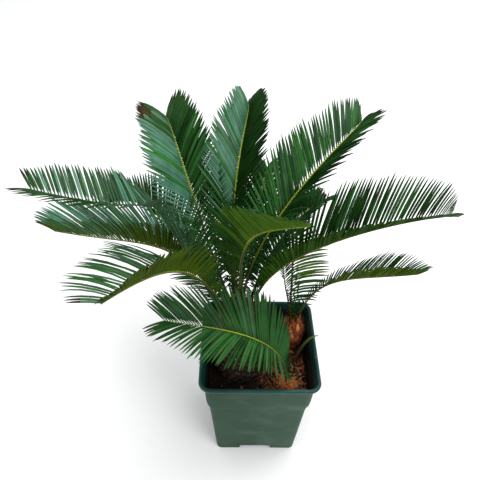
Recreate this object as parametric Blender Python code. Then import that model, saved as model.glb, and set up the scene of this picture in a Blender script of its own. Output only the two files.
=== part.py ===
"""Sago palm in a square nursery pot.

The pot stands on its corner feet with its underside at z = 0 and its axis on Z. X runs to the right, Y to the back.
A netted main caudex, a small caudex beside it and a third offset at the front stand on the soil.
Each frond is a thin blade with its two wings folded up along the rib, cut in two halves at its bend.
"""

from math import cos, pi, radians, sin, sqrt

import bmesh
import bpy
import numpy as np
from mathutils import Vector
from mathutils.bvhtree import BVHTree

GAP = 0.0003

# Pot: half-widths from the axis, heights above the underside
POT_HEIGHT = 0.1985
POT_FOOT = 0.0649
POT_WAIST_Z = 0.129
POT_WAIST = 0.0752
POT_SHOULDER_Z = 0.139
POT_SHOULDER = 0.0792
POT_COLLAR_Z = 0.1915
POT_COLLAR = 0.0825
POT_RIM = 0.090
POT_WALL = 0.0020
FLOOR_LOW = 0.0110
FLOOR_TOP = 0.0135
LIP_WIDTH = 0.0065
FOOT_CORNER = 0.0085
COLLAR_CORNER = 0.0130
RIM_CORNER = 0.0190
CORNER_STEPS = 5
RECESS_WIDTH = 0.052
RECESS_HEIGHT = 0.0095
PAD_RADIUS = 0.020
DRAIN_RADIUS = 0.005
DRAIN_OFFSET = 0.034

# Soil and what stands on it
SOIL_LEVEL = 0.148
FOOT_CUT = SOIL_LEVEL + GAP
CAUDEX_AT = (-0.029, -0.001)
CAUDEX_RADIUS = 0.046
CAUDEX_TOP = 0.255
CAUDEX_LEAN = 0.026
CROWN_AT = (-0.030, 0.025)
OFFSET_AT = (0.0565, 0.0450)
OFFSET_RADIUS = 0.0195
OFFSET_TOP = 0.205
FRONT_OFFSET_AT = (0.044, -0.048)
FRONT_OFFSET_RADIUS = 0.0095
FRONT_OFFSET_TOP = 0.166
SPEAR_POINTS = ((0.063, 0.010, 0.1484), (0.068, 0.007, 0.182), (0.078, 0.004, 0.212), (0.0925, 0.003, 0.2125))
SPEAR_RADIUS = 0.0030

# Fronds
PETIOLE_WIDTH = 0.0062
PETIOLE_DEPTH = 0.0050
RIB_END = 0.42
EDGE = 0.0008
BARE_STEM = 0.14
BLADE_STEPS = 16
BEND = 0.5
CLEARANCE = 0.0011


def clear_scene():
    for obj in list(bpy.data.objects):
        bpy.data.objects.remove(obj, do_unlink=True)


def material(name, colour, roughness, metallic=0.0):
    made = bpy.data.materials.new(name)
    made.use_nodes = True
    shader = made.node_tree.nodes["Principled BSDF"]
    shader.inputs["Base Color"].default_value = (*colour, 1.0)
    shader.inputs["Roughness"].default_value = roughness
    shader.inputs["Metallic"].default_value = metallic
    return made


def add_mesh(name, points, faces, finish):
    mesh = bpy.data.meshes.new(name)
    mesh.from_pydata([tuple(map(float, p)) for p in points], [], faces)
    shape = bmesh.new()
    shape.from_mesh(mesh)
    bmesh.ops.recalc_face_normals(shape, faces=shape.faces)
    shape.to_mesh(mesh)
    shape.free()
    mesh.materials.append(finish)
    obj = bpy.data.objects.new(name, mesh)
    bpy.context.scene.collection.objects.link(obj)
    return obj


def lofted(name, rings, finish):
    """A closed solid through rings of equal count, capped at both ends."""
    count = len(rings[0])
    points = [p for ring in rings for p in ring]
    faces = []
    for level in range(len(rings) - 1):
        for k in range(count):
            a = level * count + k
            b = level * count + (k + 1) % count
            faces.append((a, b, b + count, a + count))
    faces.append(tuple(range(count)))
    faces.append(tuple(range(len(points) - count, len(points))))
    return add_mesh(name, points, faces, finish)


def rounded_square(half, corner, height):
    ring = []
    for quarter in range(4):
        for step in range(CORNER_STEPS):
            angle = pi / 2 * (quarter + step / (CORNER_STEPS - 1))
            side = ((1, 1), (-1, 1), (-1, -1), (1, -1))[quarter]
            x = side[0] * (half - corner) + corner * cos(angle)
            y = side[1] * (half - corner) + corner * sin(angle)
            ring.append((x, y, height))
    return ring


def circle_like(half, corner, radius, height):
    """A circle with a point for each point of the rounded square, at the same bearings."""
    ring = []
    for x, y, _ in rounded_square(half, corner, height):
        length = sqrt(x * x + y * y)
        ring.append((radius * x / length, radius * y / length, height))
    return ring


def body_half(z):
    """The outer half-width of the pot's tapered body and collar."""
    heights = (0.0, POT_WAIST_Z, POT_SHOULDER_Z, POT_COLLAR_Z)
    return float(np.interp(z, heights, (POT_FOOT, POT_WAIST, POT_SHOULDER, POT_COLLAR)))


def body_corner(z):
    return float(np.interp(z, (0.0, POT_COLLAR_Z), (FOOT_CORNER, COLLAR_CORNER)))


def wall_ring(z, inset):
    return rounded_square(body_half(z) - inset, body_corner(z) - inset, z)


def lip_rings():
    """The rolled lip, from under its outer edge over the top to its inner edge."""
    rings = []
    low = POT_COLLAR_Z
    tall = POT_HEIGHT - low
    middle = POT_RIM - LIP_WIDTH / 2
    for turn in range(7):
        angle = radians(-45 + turn * 37.5)
        half = middle + LIP_WIDTH / 2 * cos(angle)
        height = low + tall / 2 + tall / 2 * sin(angle)
        corner = RIM_CORNER - (POT_RIM - half)
        rings.append(rounded_square(half, corner, height))
    return rings


def cutter(name, size, place):
    bpy.ops.mesh.primitive_cube_add(size=1.0, location=place)
    box = bpy.context.object
    box.name = name
    box.scale = size
    bpy.ops.object.transform_apply(location=False, rotation=False, scale=True)
    box.hide_render = True
    box.display_type = "WIRE"
    return box


def subtract(obj, tool):
    cut = obj.modifiers.new(tool.name, "BOOLEAN")
    cut.operation = "DIFFERENCE"
    cut.solver = "EXACT"
    cut.object = tool


def make_pot():
    finish = material("pot_plastic", (0.060, 0.105, 0.080), 0.45)
    skirt_in = body_half(FLOOR_LOW) - POT_WALL
    rings = [
        circle_like(POT_FOOT, FOOT_CORNER, PAD_RADIUS, 0.0),
        circle_like(POT_FOOT, FOOT_CORNER, PAD_RADIUS + 0.001, FLOOR_LOW),
        rounded_square(skirt_in, FOOT_CORNER - POT_WALL, FLOOR_LOW),
        rounded_square(POT_FOOT - POT_WALL, FOOT_CORNER - POT_WALL, 0.0),
        wall_ring(0.0, 0.0),
        wall_ring(POT_WAIST_Z, 0.0),
        wall_ring(POT_SHOULDER_Z, 0.0),
        wall_ring(POT_COLLAR_Z, 0.0),
        *lip_rings(),
        wall_ring(POT_COLLAR_Z - 0.002, POT_WALL),
        wall_ring(POT_SHOULDER_Z, POT_WALL),
        wall_ring(POT_WAIST_Z, POT_WALL),
        wall_ring(FLOOR_TOP, POT_WALL),
    ]
    pot = lofted("pot", rings, finish)
    reach = POT_FOOT + 0.004
    for index in range(4):
        turn = pi / 2 * index
        place = (reach * cos(turn), reach * sin(turn), RECESS_HEIGHT / 2 - 0.002)
        along_x = index % 2 == 1
        tall = RECESS_HEIGHT + 0.004
        size = (RECESS_WIDTH, 0.02, tall) if along_x else (0.02, RECESS_WIDTH, tall)
        subtract(pot, cutter(f"recess_{index}", size, place))
        drain_x = DRAIN_OFFSET if index in (0, 3) else -DRAIN_OFFSET
        drain_y = DRAIN_OFFSET if index < 2 else -DRAIN_OFFSET
        bpy.ops.mesh.primitive_cylinder_add(
            vertices=12, radius=DRAIN_RADIUS, depth=0.01, location=(drain_x, drain_y, 0.012)
        )
        hole = bpy.context.object
        hole.name = f"drain_{index}"
        hole.hide_render = True
        hole.display_type = "WIRE"
        subtract(pot, hole)
    return pot


def make_soil():
    finish = material("soil", (0.045, 0.022, 0.012), 0.95)
    gap = POT_WALL + GAP
    rings = [wall_ring(z, gap) for z in (FLOOR_TOP + GAP, POT_WAIST_Z, POT_SHOULDER_Z, SOIL_LEVEL - 0.001)]
    top = body_half(SOIL_LEVEL) - gap - 0.004
    rings.append(rounded_square(top, body_corner(SOIL_LEVEL) - gap, SOIL_LEVEL))
    return lofted("soil", rings, finish)


def caudex_radius(share, radius):
    """The egg-shaped profile of a caudex, from its flat cut at 0 to its blunt top at 1."""
    return radius * sqrt(1 - ((share - 0.40) / 0.62) ** 2)


def caudex_rings(at, radius, top, lean, sides, levels):
    rings = []
    for level in range(levels + 1):
        share = sin(pi / 2 * level / levels)
        wide = caudex_radius(share, radius)
        height = FOOT_CUT + share * (top - FOOT_CUT)
        middle = at[1] + lean * share
        ring = []
        for side in range(sides):
            angle = 2 * pi * side / sides
            ring.append((at[0] + wide * cos(angle), middle + wide * sin(angle), height))
        rings.append(ring)
    return rings


def make_spear():
    """The rolled young leaf beside the offset, a slim tube that leans out over the rim."""
    finish = material("spear", (0.16, 0.24, 0.05), 0.5)
    route = np.array(SPEAR_POINTS)
    steps = np.linspace(0, 1, 9)
    rings = []
    for t in steps:
        centre = bezier(route, t)
        ahead = bezier(route, t + 0.01) - bezier(route, t - 0.01)
        ahead = ahead / np.linalg.norm(ahead)
        if t == 0:
            ahead = np.array((0.0, 0.0, 1.0))
        across = np.cross((0, 1, 0), ahead)
        across = across / np.linalg.norm(across)
        other = np.cross(ahead, across)
        wide = SPEAR_RADIUS * (1 - 0.75 * t ** 2)
        ring = [centre + wide * (cos(a) * across + sin(a) * other) for a in np.arange(8) * pi / 4]
        rings.append(ring)
    return lofted("spear", rings, finish)


def bezier(p, t):
    u = 1 - t
    return u ** 3 * p[0] + 3 * u * u * t * p[1] + 3 * u * t * t * p[2] + t ** 3 * p[3]


def heading(azimuth, rise):
    a = radians(azimuth)
    e = radians(rise)
    return np.array((cos(e) * cos(a), cos(e) * sin(a), sin(e)))


def leaflet_length(u):
    """Share of the longest leaflet's length at u, from the first leaflet at 0 to the frond's tip at 1."""
    if u < 0:
        return 0.0
    if u < 0.4:
        return 1 - 0.6 * (1 - u / 0.4) ** 2
    return 1 - 0.64 * ((u - 0.4) / 0.6) ** 2.3


def leaflet_slant(u, middle):
    """Angle between leaflet and rib in degrees: square to the rib low down, swept forward at the tip."""
    if u < 0.45:
        return 80 + (middle - 80) * max(0.0, u) / 0.45
    return middle + (22 - middle) * ((u - 0.45) / 0.55) ** 1.3


class Frond:
    """One frond: where it stands, where its tip is, how it leaves and arrives, and the fold of its wings."""

    def __init__(self, name, ring, azimuth, leave, tip, arrive, fold, roll, leaflet, slant, crown=None):
        self.name = name
        self.azimuth = azimuth
        self.leave = leave
        self.tip = np.array(tip)
        self.arrive = arrive
        self.fold = radians(fold)
        self.roll = (radians(roll[0]), radians(roll[1]))
        self.leaflet = leaflet
        self.slant = slant
        at = crown or CROWN_AT
        a = radians(azimuth)
        self.foot = np.array((at[0] + ring * cos(a), at[1] + ring * sin(a), CAUDEX_TOP))
        self.left = np.ones(BLADE_STEPS + 1)
        self.right = np.ones(BLADE_STEPS + 1)

    def path(self):
        leave_rise, leave_pull = self.leave
        arrive_azimuth, arrive_rise, arrive_pull = self.arrive
        route = (
            self.foot,
            self.foot + leave_pull * heading(self.azimuth, leave_rise),
            self.tip - arrive_pull * heading(arrive_azimuth, arrive_rise),
            self.tip,
        )
        fine = np.array([bezier(route, t) for t in np.linspace(0, 1, 161)])
        run = np.concatenate(([0], np.cumsum(np.linalg.norm(np.diff(fine, axis=0), axis=1))))
        return fine, run

    def section(self, fine, run, share, left, right, swell=0.0):
        """Six points round the blade at this share of the rib: rib top, left edge, rib foot, right edge."""
        length = run[-1]
        def at(s):
            return np.array([np.interp(s * length, run, fine[:, k]) for k in range(3)])
        here = at(share)
        ahead = at(min(1.0, share + 0.01)) - at(max(0.0, share - 0.01))
        ahead = ahead / np.linalg.norm(ahead)
        side = np.cross((0, 0, 1), ahead)
        side = side / np.linalg.norm(side)
        above = np.cross(ahead, side)
        turn = self.roll[0] + share * self.roll[1]
        across = cos(turn) * side + sin(turn) * above
        up = cos(turn) * above - sin(turn) * side
        u = (share - BARE_STEM) / (1 - BARE_STEM)
        lean = radians(leaflet_slant(u, self.slant))
        reach = self.leaflet * leaflet_length(u)
        thin = 1 + (RIB_END - 1) * share
        half = PETIOLE_WIDTH / 2 * thin + swell
        deep = PETIOLE_DEPTH / 2 * thin + swell
        edge = EDGE / 2 + swell
        points = [here + deep * up]
        for sign, part in ((1, left), (-1, right)):
            out = cos(lean) * ahead + sin(lean) * (cos(self.fold) * sign * across + sin(self.fold) * up)
            tip = here + sign * half * across + (reach * part + swell) * out * (reach > 0)
            face = cos(self.fold) * up - sin(self.fold) * sign * across
            pair = [tip + edge * face, tip - edge * face]
            if sign == 1:
                points += [*pair, here - deep * up]
            else:
                points += pair[::-1]
        return points

    def mesh(self, start=0.0, end=1.0, steps=BLADE_STEPS, swell=0.0):
        fine, run = self.path()
        known = np.linspace(0, 1, BLADE_STEPS + 1)
        points = []
        for share in np.linspace(start, end, steps + 1):
            left = np.interp(share, known, self.left)
            right = np.interp(share, known, self.right)
            points += self.section(fine, run, share, left, right, swell)
        faces = []
        for level in range(steps):
            a = 6 * level
            b = a + 6
            for k in range(6):
                m = (k + 1) % 6
                ends_on_rib = k in (2, 5)
                if ends_on_rib:
                    faces += [(a + k, a + m, b + k), (a + m, b + m, b + k)]
                else:
                    faces += [(a + k, a + m, b + m), (a + k, b + m, b + k)]
        last = 6 * steps
        faces += [(0, 1, 2), (0, 2, 3), (0, 3, 4), (0, 4, 5)]
        faces += [(last, last + 1, last + 2), (last, last + 2, last + 3)]
        faces += [(last, last + 3, last + 4), (last, last + 4, last + 5)]
        return points, faces

    def seat(self, ground):
        """Lets the frond's foot down, or lifts it, until it stands a hair above what carries it."""
        fine, run = self.path()
        foot = self.section(fine, run, 0.0, 0, 0)
        drops = []
        for p in [*foot, self.foot]:
            hit = ground.ray_cast(Vector(p) + Vector((0, 0, 0.05)), Vector((0, 0, -1)))[0]
            if hit is not None:
                drops.append(p[2] - hit.z)
        self.foot = self.foot - np.array((0, 0, min(drops) - GAP - 0.0001))


FRONDS = (
    Frond("frond_left_high", 0.0120, 201, (62, 0.368), (-0.242, -0.105, 0.552), (174, 11, 0.207),
          35, (2, 4), 0.078, 65),
    Frond("frond_left_low", 0.0240, 175, (63, 0.165), (-0.260, -0.031, 0.443), (177, 10, 0.130),
          47, (-1, 12), 0.085, 61),
    Frond("frond_front_left", 0.0240, 231, (68, 0.167), (-0.163, -0.199, 0.494), (248, 22, 0.151),
          28, (27, 1), 0.090, 64),
    Frond("frond_back_left", 0.0240, 132, (57, 0.128), (-0.156, 0.278, 0.440), (103, -26, 0.087),
          37, (-9, -3), 0.079, 61),
    Frond("frond_back", 0.0120, 110, (60, 0.167), (-0.019, 0.309, 0.449), (98, -28, 0.074),
          46, (-4, 6), 0.073, 59),
    Frond("frond_back_right", 0.0120, 68, (80, 0.145), (0.158, 0.226, 0.463), (74, -19, 0.089),
          45, (7, 1), 0.079, 60),
    Frond("frond_front_short", 0.0120, 264, (80, 0.186), (0.023, -0.181, 0.574), (292, 39, 0.165),
          78, (2, 76), 0.070, 54),
    Frond("frond_right", 0.0240, 18, (88, 0.125), (0.263, 0.058, 0.405), (52, -32, 0.119),
          53, (3, 14), 0.082, 59),
    Frond("frond_back_inner", 0.0240, 86, (72, 0.090), (0.015, 0.249, 0.360), (86, -20, 0.090),
          44, (0, 0), 0.068, 60),
    Frond("frond_right_inner", 0.0240, 46, (72, 0.080), (0.103, 0.168, 0.345), (48, -20, 0.080),
          44, (0, 0), 0.066, 60),
    Frond("frond_back_low", 0.0240, 109, (60, 0.080), (-0.075, 0.300, 0.300), (104, -35, 0.100),
          42, (0, 0), 0.070, 60),
    Frond("frond_left_back", 0.0240, 152, (62, 0.100), (-0.240, 0.170, 0.340), (156, -30, 0.110),
          42, (0, 0), 0.072, 60),
)
OFFSET_FRONDS = (
    Frond("offset_frond_right", 0.0080, 4, (80, 0.108), (0.244, 0.061, 0.290), (-4, 13, 0.100),
          51, (-7, -14), 0.055, 52, OFFSET_AT),
    Frond("offset_frond_upright", 0.0070, 135, (86, 0.060), (0.046, 0.056, 0.372), (120, 80, 0.060),
          45, (0, 0), 0.052, 62, OFFSET_AT),
    Frond("offset_frond_left", 0.0080, 230, (86, 0.050), (0.034, 0.055, 0.332), (80, 75, 0.050),
          45, (0, 0), 0.046, 62, OFFSET_AT),
)
FRONT_FROND = Frond(
    "front_offset_frond", 0.0020, 177, (88, 0.106), (-0.135, -0.049, 0.303), (175, 6, 0.096),
    16, (-4, -28), 0.075, 57, FRONT_OFFSET_AT,
)


def tree_of(points, faces):
    return BVHTree.FromPolygons([tuple(map(float, p)) for p in points], faces)


def narrow(frond, triangle):
    """Shortens the wing that this triangle lies on, at the two stations beside it."""
    level = triangle // 12
    wing = frond.left if triangle % 12 < 6 else frond.right
    for station in (level, level + 1):
        wing[station] = max(0.05, wing[station] * 0.93)


def wing_length(frond, triangle):
    level = triangle // 12
    wing = frond.left if triangle % 12 < 6 else frond.right
    u = ((level + 0.5) / BLADE_STEPS - BARE_STEM) / (1 - BARE_STEM)
    return frond.leaflet * leaflet_length(u) * (wing[level] + wing[level + 1]) / 2


def clear_of_each_other(fronds, fixed):
    """Where two blades would meet, the longer leaflets give way, step by step, until all are clear."""
    for _ in range(80):
        trees = [tree_of(*frond.mesh(swell=CLEARANCE / 2)) for frond in fronds]
        shorten = {}
        for i, frond in enumerate(fronds):
            for j in range(i):
                other = fronds[j]
                for a, b in trees[i].overlap(trees[j]):
                    if max(a, b) >= 12 * BLADE_STEPS:
                        continue
                    here = wing_length(frond, a)
                    there = wing_length(other, b)
                    owner, triangle = (frond, a) if here >= there else (other, b)
                    shorten[(owner.name, triangle // 6)] = (owner, triangle)
            for solid in fixed:
                for a, _b in trees[i].overlap(solid):
                    if a < 12 * BLADE_STEPS:
                        shorten[(frond.name, a // 6)] = (frond, a)
        if not shorten:
            return
        for owner, triangle in shorten.values():
            narrow(owner, triangle)
        for frond in fronds:
            for wing in (frond.left, frond.right):
                for k in range(BLADE_STEPS):
                    wing[k + 1] = min(wing[k + 1], wing[k] + 0.3)
                for k in range(BLADE_STEPS, 0, -1):
                    wing[k - 1] = min(wing[k - 1], wing[k] + 0.3)


def tree_of_object(obj):
    graph = bpy.context.evaluated_depsgraph_get()
    return BVHTree.FromObject(obj, graph)


def build_plant():
    bark = material("bark", (0.090, 0.055, 0.035), 0.9)
    wool = material("offset_bark", (0.200, 0.090, 0.040), 0.9)
    blade = material("frond_blade", (0.030, 0.090, 0.035), 0.4)
    caudex = lofted("caudex", caudex_rings(CAUDEX_AT, CAUDEX_RADIUS, CAUDEX_TOP, CAUDEX_LEAN, 24, 9), bark)
    offset = lofted("offset_caudex", caudex_rings(OFFSET_AT, OFFSET_RADIUS, OFFSET_TOP, 0.0, 16, 6), wool)
    front = lofted(
        "front_offset", caudex_rings(FRONT_OFFSET_AT, FRONT_OFFSET_RADIUS, FRONT_OFFSET_TOP, 0.0, 12, 4), wool
    )
    bpy.context.view_layer.update()
    main_tree = tree_of_object(caudex)
    offset_tree = tree_of_object(offset)
    front_tree = tree_of_object(front)
    for frond in FRONDS:
        frond.seat(main_tree)
    for frond in OFFSET_FRONDS:
        frond.foot[2] = OFFSET_TOP
        frond.seat(offset_tree)
    FRONT_FROND.foot[2] = FRONT_OFFSET_TOP
    FRONT_FROND.seat(front_tree)
    fronds = [*FRONDS, *OFFSET_FRONDS, FRONT_FROND]
    pot_tree = tree_of_object(bpy.data.objects["pot"])
    clear_of_each_other(fronds, [main_tree, offset_tree, front_tree, pot_tree])
    for frond in fronds:
        fine, run = frond.path()
        slit = GAP / run[-1]
        half_steps = BLADE_STEPS // 2
        add_mesh(f"{frond.name}_lower", *frond.mesh(0.0, BEND - slit, half_steps), blade)
        add_mesh(f"{frond.name}_upper", *frond.mesh(BEND + slit, 1.0, half_steps), blade)


clear_scene()
make_pot()
make_soil()
make_spear()
build_plant()
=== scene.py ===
import math

import bmesh
import bpy
import numpy as np
from mathutils import Euler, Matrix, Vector


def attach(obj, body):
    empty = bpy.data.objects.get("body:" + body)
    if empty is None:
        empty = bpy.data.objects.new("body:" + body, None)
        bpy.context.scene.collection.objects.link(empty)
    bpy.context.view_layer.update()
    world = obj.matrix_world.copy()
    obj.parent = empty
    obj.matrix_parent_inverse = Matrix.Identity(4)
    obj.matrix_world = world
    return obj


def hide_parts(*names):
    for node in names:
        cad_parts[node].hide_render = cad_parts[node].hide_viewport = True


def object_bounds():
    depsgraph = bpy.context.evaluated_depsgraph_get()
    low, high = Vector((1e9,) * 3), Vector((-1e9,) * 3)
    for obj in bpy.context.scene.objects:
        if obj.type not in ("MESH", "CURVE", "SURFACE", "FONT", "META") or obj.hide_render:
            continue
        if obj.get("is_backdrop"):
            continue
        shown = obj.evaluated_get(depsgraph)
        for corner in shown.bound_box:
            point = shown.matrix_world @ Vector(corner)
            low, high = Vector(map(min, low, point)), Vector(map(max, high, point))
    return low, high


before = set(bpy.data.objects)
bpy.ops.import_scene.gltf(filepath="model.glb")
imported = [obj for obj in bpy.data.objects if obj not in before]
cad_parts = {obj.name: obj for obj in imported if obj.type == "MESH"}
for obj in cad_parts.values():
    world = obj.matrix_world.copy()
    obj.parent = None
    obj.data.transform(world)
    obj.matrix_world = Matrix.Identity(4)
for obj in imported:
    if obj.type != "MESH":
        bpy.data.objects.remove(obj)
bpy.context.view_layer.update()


# The palm stands on a plain pale studio floor, under a broad soft light from above and a weaker one from the
# front right. The camera looks down on it from in front, at about forty degrees.
class Finish:
    """A new material, built up from noise, colour ramps, mixes and bumps on Object coordinates."""

    def __init__(self, name, roughness, specular):
        self.made = bpy.data.materials.new(name)
        self.made.use_nodes = True
        self.join = self.made.node_tree.links.new
        self.skin = self.made.node_tree.nodes["Principled BSDF"].inputs
        self.skin["Roughness"].default_value = roughness
        self.skin["Specular IOR Level"].default_value = specular
        self.place = self.node("TexCoord").outputs["Object"]

    def node(self, kind, **values):
        node = self.made.node_tree.nodes.new(f"ShaderNode{kind}")
        for socket, value in values.items():
            node.inputs[socket].default_value = value
        return node

    def noise(self, scale, detail=4, stretch=(1, 1, 1), swirl=0.0):
        fit = self.node("Mapping", Scale=stretch)
        field = self.node("TexNoise", Scale=scale, Detail=detail, Distortion=swirl)
        self.join(self.place, fit.inputs["Vector"])
        self.join(fit.outputs["Vector"], field.inputs["Vector"])
        return field.outputs["Fac"]

    def kept(self, name):
        """A number that the mesh itself keeps at each of its points."""
        node = self.node("Attribute")
        node.attribute_name = name
        return node.outputs["Fac"]

    def ramp(self, source, *stops):
        shades = self.node("ValToRGB")
        marks = shades.color_ramp.elements
        while len(marks) < len(stops):
            marks.new(0.5)
        for mark, (at, colour) in zip(marks, stops):
            mark.position = at
            mark.color = (*colour, 1)
        self.join(source, shades.inputs["Fac"])
        return shades.outputs["Color"]

    def patches(self, source, low, high, most):
        """How far something covers the surface: nothing below low, and the share most of it above high."""
        return self.ramp(source, (low, (0, 0, 0)), (high, (most, most, most)))

    def blend(self, share, under, over):
        mix = self.node("Mix")
        mix.data_type = "RGBA"
        self.join(share, mix.inputs["Factor"])
        self.join(under, mix.inputs[6])
        mix.inputs[7].default_value = (*over, 1)
        return mix.outputs[2]

    def relief(self, source, depth, strength=1.0):
        bump = self.node("Bump", Distance=depth, Strength=strength)
        self.join(source, bump.inputs["Height"])
        self.join(bump.outputs["Normal"], self.skin["Normal"])

    def paint(self, colour):
        self.join(colour, self.skin["Base Color"])


def added(operator, **settings):
    """The piece that an operator adds, with nothing else selected."""
    bpy.ops.object.select_all(action="DESELECT")
    operator(**settings)
    return bpy.context.object


floor = added(bpy.ops.mesh.primitive_plane_add, size=30, location=(0, 0, -0.0002))
floor.name = "floor"
paper = Finish("floor_paper", 0.9, 0.5)
paper.paint(paper.ramp(paper.noise(60, 2), (0, (0.95, 0.95, 0.95)), (1, (0.97, 0.97, 0.97))))
floor.data.materials.append(paper.made)
floor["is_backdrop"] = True

world = bpy.data.worlds.new("studio")
world.use_nodes = True
world.node_tree.nodes["Background"].inputs["Color"].default_value = (0.98, 0.99, 1.0, 1)
world.node_tree.nodes["Background"].inputs["Strength"].default_value = 0.85
bpy.context.scene.world = world
bpy.context.scene.view_settings.view_transform = "Standard"


def hang_light(name, watts, size, place, aim):
    light = bpy.data.lights.new(name, "AREA")
    light.energy = watts
    light.size = size
    lamp = bpy.data.objects.new(name, light)
    bpy.context.scene.collection.objects.link(lamp)
    lamp.location = place
    lamp.rotation_euler = (Vector(aim) - Vector(place)).to_track_quat("-Z", "Y").to_euler()


hang_light("sky_light", 42, 1.8, (0.5, 0.5, 2.6), (0, 0, 0.3))
hang_light("front_light", 25, 1.4, (1.4, -1.6, 1.6), (0, 0, 0.25))

lens = bpy.data.cameras.new("camera")
lens.sensor_width = 36
lens.lens = 40.5
camera = bpy.data.objects.new("camera", lens)
bpy.context.scene.collection.objects.link(camera)
camera.location = (-0.04358, -0.54258, 0.86019)
camera.rotation_euler = [math.radians(angle) for angle in (50.078, -1.082, -0.224)]
bpy.context.scene.camera = camera


# A square nursery pot, injection moulded in green polypropylene with a rolled lip and a stepped collar.
# It stands on four corner feet and a middle pad, with a recess in the foot of each side and four drain holes.
POT_FOOT = 0.0649
POT_WALL = 0.0020
POT_RIM = 0.090
LIP_WIDTH = 0.0065
LIP_LOW, LIP_TOP = 0.1915, 0.1985
RECESS_WIDE, RECESS_DEEP, RECESS_TALL = 0.052, 0.020, 0.0135
DRAIN_RADIUS, DRAIN_AT = 0.005, 0.034


def body_half(z):
    return float(np.interp(z, (0.0, 0.129, 0.139, LIP_LOW), (POT_FOOT, 0.0752, 0.0792, 0.0825)))


def body_corner(z):
    return float(np.interp(z, (0.0, LIP_LOW), (0.0085, 0.0130)))


def rounded_square(half, corner, height, steps=9):
    points = []
    for quarter, (sx, sy) in enumerate(((1, 1), (-1, 1), (-1, -1), (1, -1))):
        for step in range(steps):
            angle = math.pi / 2 * (quarter + step / (steps - 1))
            x = sx * (half - corner) + corner * math.cos(angle)
            y = sy * (half - corner) + corner * math.sin(angle)
            points.append((x, y, height))
    return points


def drawn_up(name, rings):
    """A closed form extruded from its first outline through each of the others."""
    piece = added(bpy.ops.mesh.primitive_circle_add, vertices=len(rings[0]), radius=1, fill_type="NGON")
    piece.name = name
    bpy.ops.object.mode_set(mode="EDIT")
    bpy.ops.mesh.select_all(action="SELECT")
    for level, ring in enumerate(rings):
        if level:
            bpy.ops.mesh.extrude_region_move()
        shape = bmesh.from_edit_mesh(piece.data)
        middle = np.mean([v.co for v in shape.verts if v.select], axis=0)
        picked = sorted(
            (v for v in shape.verts if v.select),
            key=lambda v: math.atan2(v.co.y - middle[1], v.co.x - middle[0]) % (2 * math.pi),
        )
        for vert, point in zip(picked, ring):
            vert.co = point
        bmesh.update_edit_mesh(piece.data)
    bpy.ops.mesh.select_all(action="SELECT")
    bpy.ops.mesh.normals_make_consistent(inside=False)
    bpy.ops.object.mode_set(mode="OBJECT")
    return piece


def wall(z, inset=0.0):
    return rounded_square(body_half(z) - inset, body_corner(z) - inset, z)


def pad(radius, height):
    ring = []
    for x, y, _ in rounded_square(POT_FOOT, 0.0085, 0):
        far = math.hypot(x, y)
        ring.append((radius * x / far, radius * y / far, height))
    return ring


def recess(across, reach):
    """A block with two rounded upper edges, to be cut out of the foot of one side."""
    x, y = (0, reach) if across else (reach, 0)
    block = added(bpy.ops.mesh.primitive_cube_add, size=1, location=(x, y, 0.00275))
    block.scale = (*((RECESS_WIDE, RECESS_DEEP) if across else (RECESS_DEEP, RECESS_WIDE)), RECESS_TALL)
    bpy.ops.object.transform_apply(location=False, rotation=False, scale=True)
    bpy.ops.object.mode_set(mode="EDIT")
    bpy.ops.mesh.select_all(action="DESELECT")
    shape = bmesh.from_edit_mesh(block.data)
    for edge in shape.edges:
        low, high = edge.verts
        run = high.co - low.co
        edge.select = abs(run.y if across else run.x) > 0.015 and low.co.z > 0
    bmesh.update_edit_mesh(block.data)
    bpy.ops.mesh.bevel(offset=0.0022, segments=4, affect="EDGES")
    bpy.ops.object.mode_set(mode="OBJECT")
    return block


foot = [pad(0.0200, 0.0), pad(0.0210, 0.0110), rounded_square(body_half(0.011) - POT_WALL, 0.0065, 0.0110)]
for inset, corner, height in ((POT_WALL, 0.0065, 0.0006), (0.0014, 0.0071, 0.0), (0.0007, 0.0078, 0.0),
                              (0.0001, 0.0084, 0.0007)):
    foot.append(rounded_square(POT_FOOT - inset, corner, height))
collar = [rounded_square(*ring) for ring in (
    (0.07512, 0.0112, 0.1245), (0.07550, 0.0113, 0.1280), (0.07620, 0.0114, 0.1315),
    (0.07730, 0.0116, 0.1352), (0.07840, 0.0117, 0.1390), (0.07910, 0.0118, 0.1430),
)]
lip = []
for turn in range(14):
    angle = math.radians(-75 + turn * 20)
    half = POT_RIM - LIP_WIDTH / 2 + LIP_WIDTH / 2 * math.cos(angle)
    height = (LIP_LOW + LIP_TOP) / 2 + (LIP_TOP - LIP_LOW) / 2 * math.sin(angle)
    lip.append(rounded_square(half, 0.019 - (POT_RIM - half), height))
pot = drawn_up("pot_body", [
    *foot, *[wall(z) for z in (0.0020, 0.040, 0.080, 0.120)],
    *collar, *[wall(z) for z in (0.1500, 0.1700, 0.1890, 0.1912)],
    *lip, *[wall(z, POT_WALL) for z in (0.1890, 0.1700, 0.1420, 0.1360, 0.1290, 0.0700, 0.0135)],
])
for side in range(4):
    notch = recess(side % 2 == 1, (POT_FOOT + 0.003) * (1 if side < 2 else -1))
    x, y = DRAIN_AT * (1 if side in (0, 3) else -1), DRAIN_AT * (1 if side < 2 else -1)
    drain = added(
        bpy.ops.mesh.primitive_cylinder_add, vertices=20, radius=DRAIN_RADIUS, depth=0.01,
        location=(x, y, 0.012),
    )
    bpy.ops.object.select_all(action="DESELECT")
    bpy.context.view_layer.objects.active = pot
    for name, cutter in (("recess", notch), ("drain", drain)):
        cut = pot.modifiers.new(name, "BOOLEAN")
        cut.solver = "EXACT"
        cut.object = cutter
        bpy.ops.object.modifier_apply(modifier=cut.name)
        bpy.data.objects.remove(cutter)
pot.select_set(True)
bpy.ops.object.shade_smooth_by_angle(angle=math.radians(38))


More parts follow.
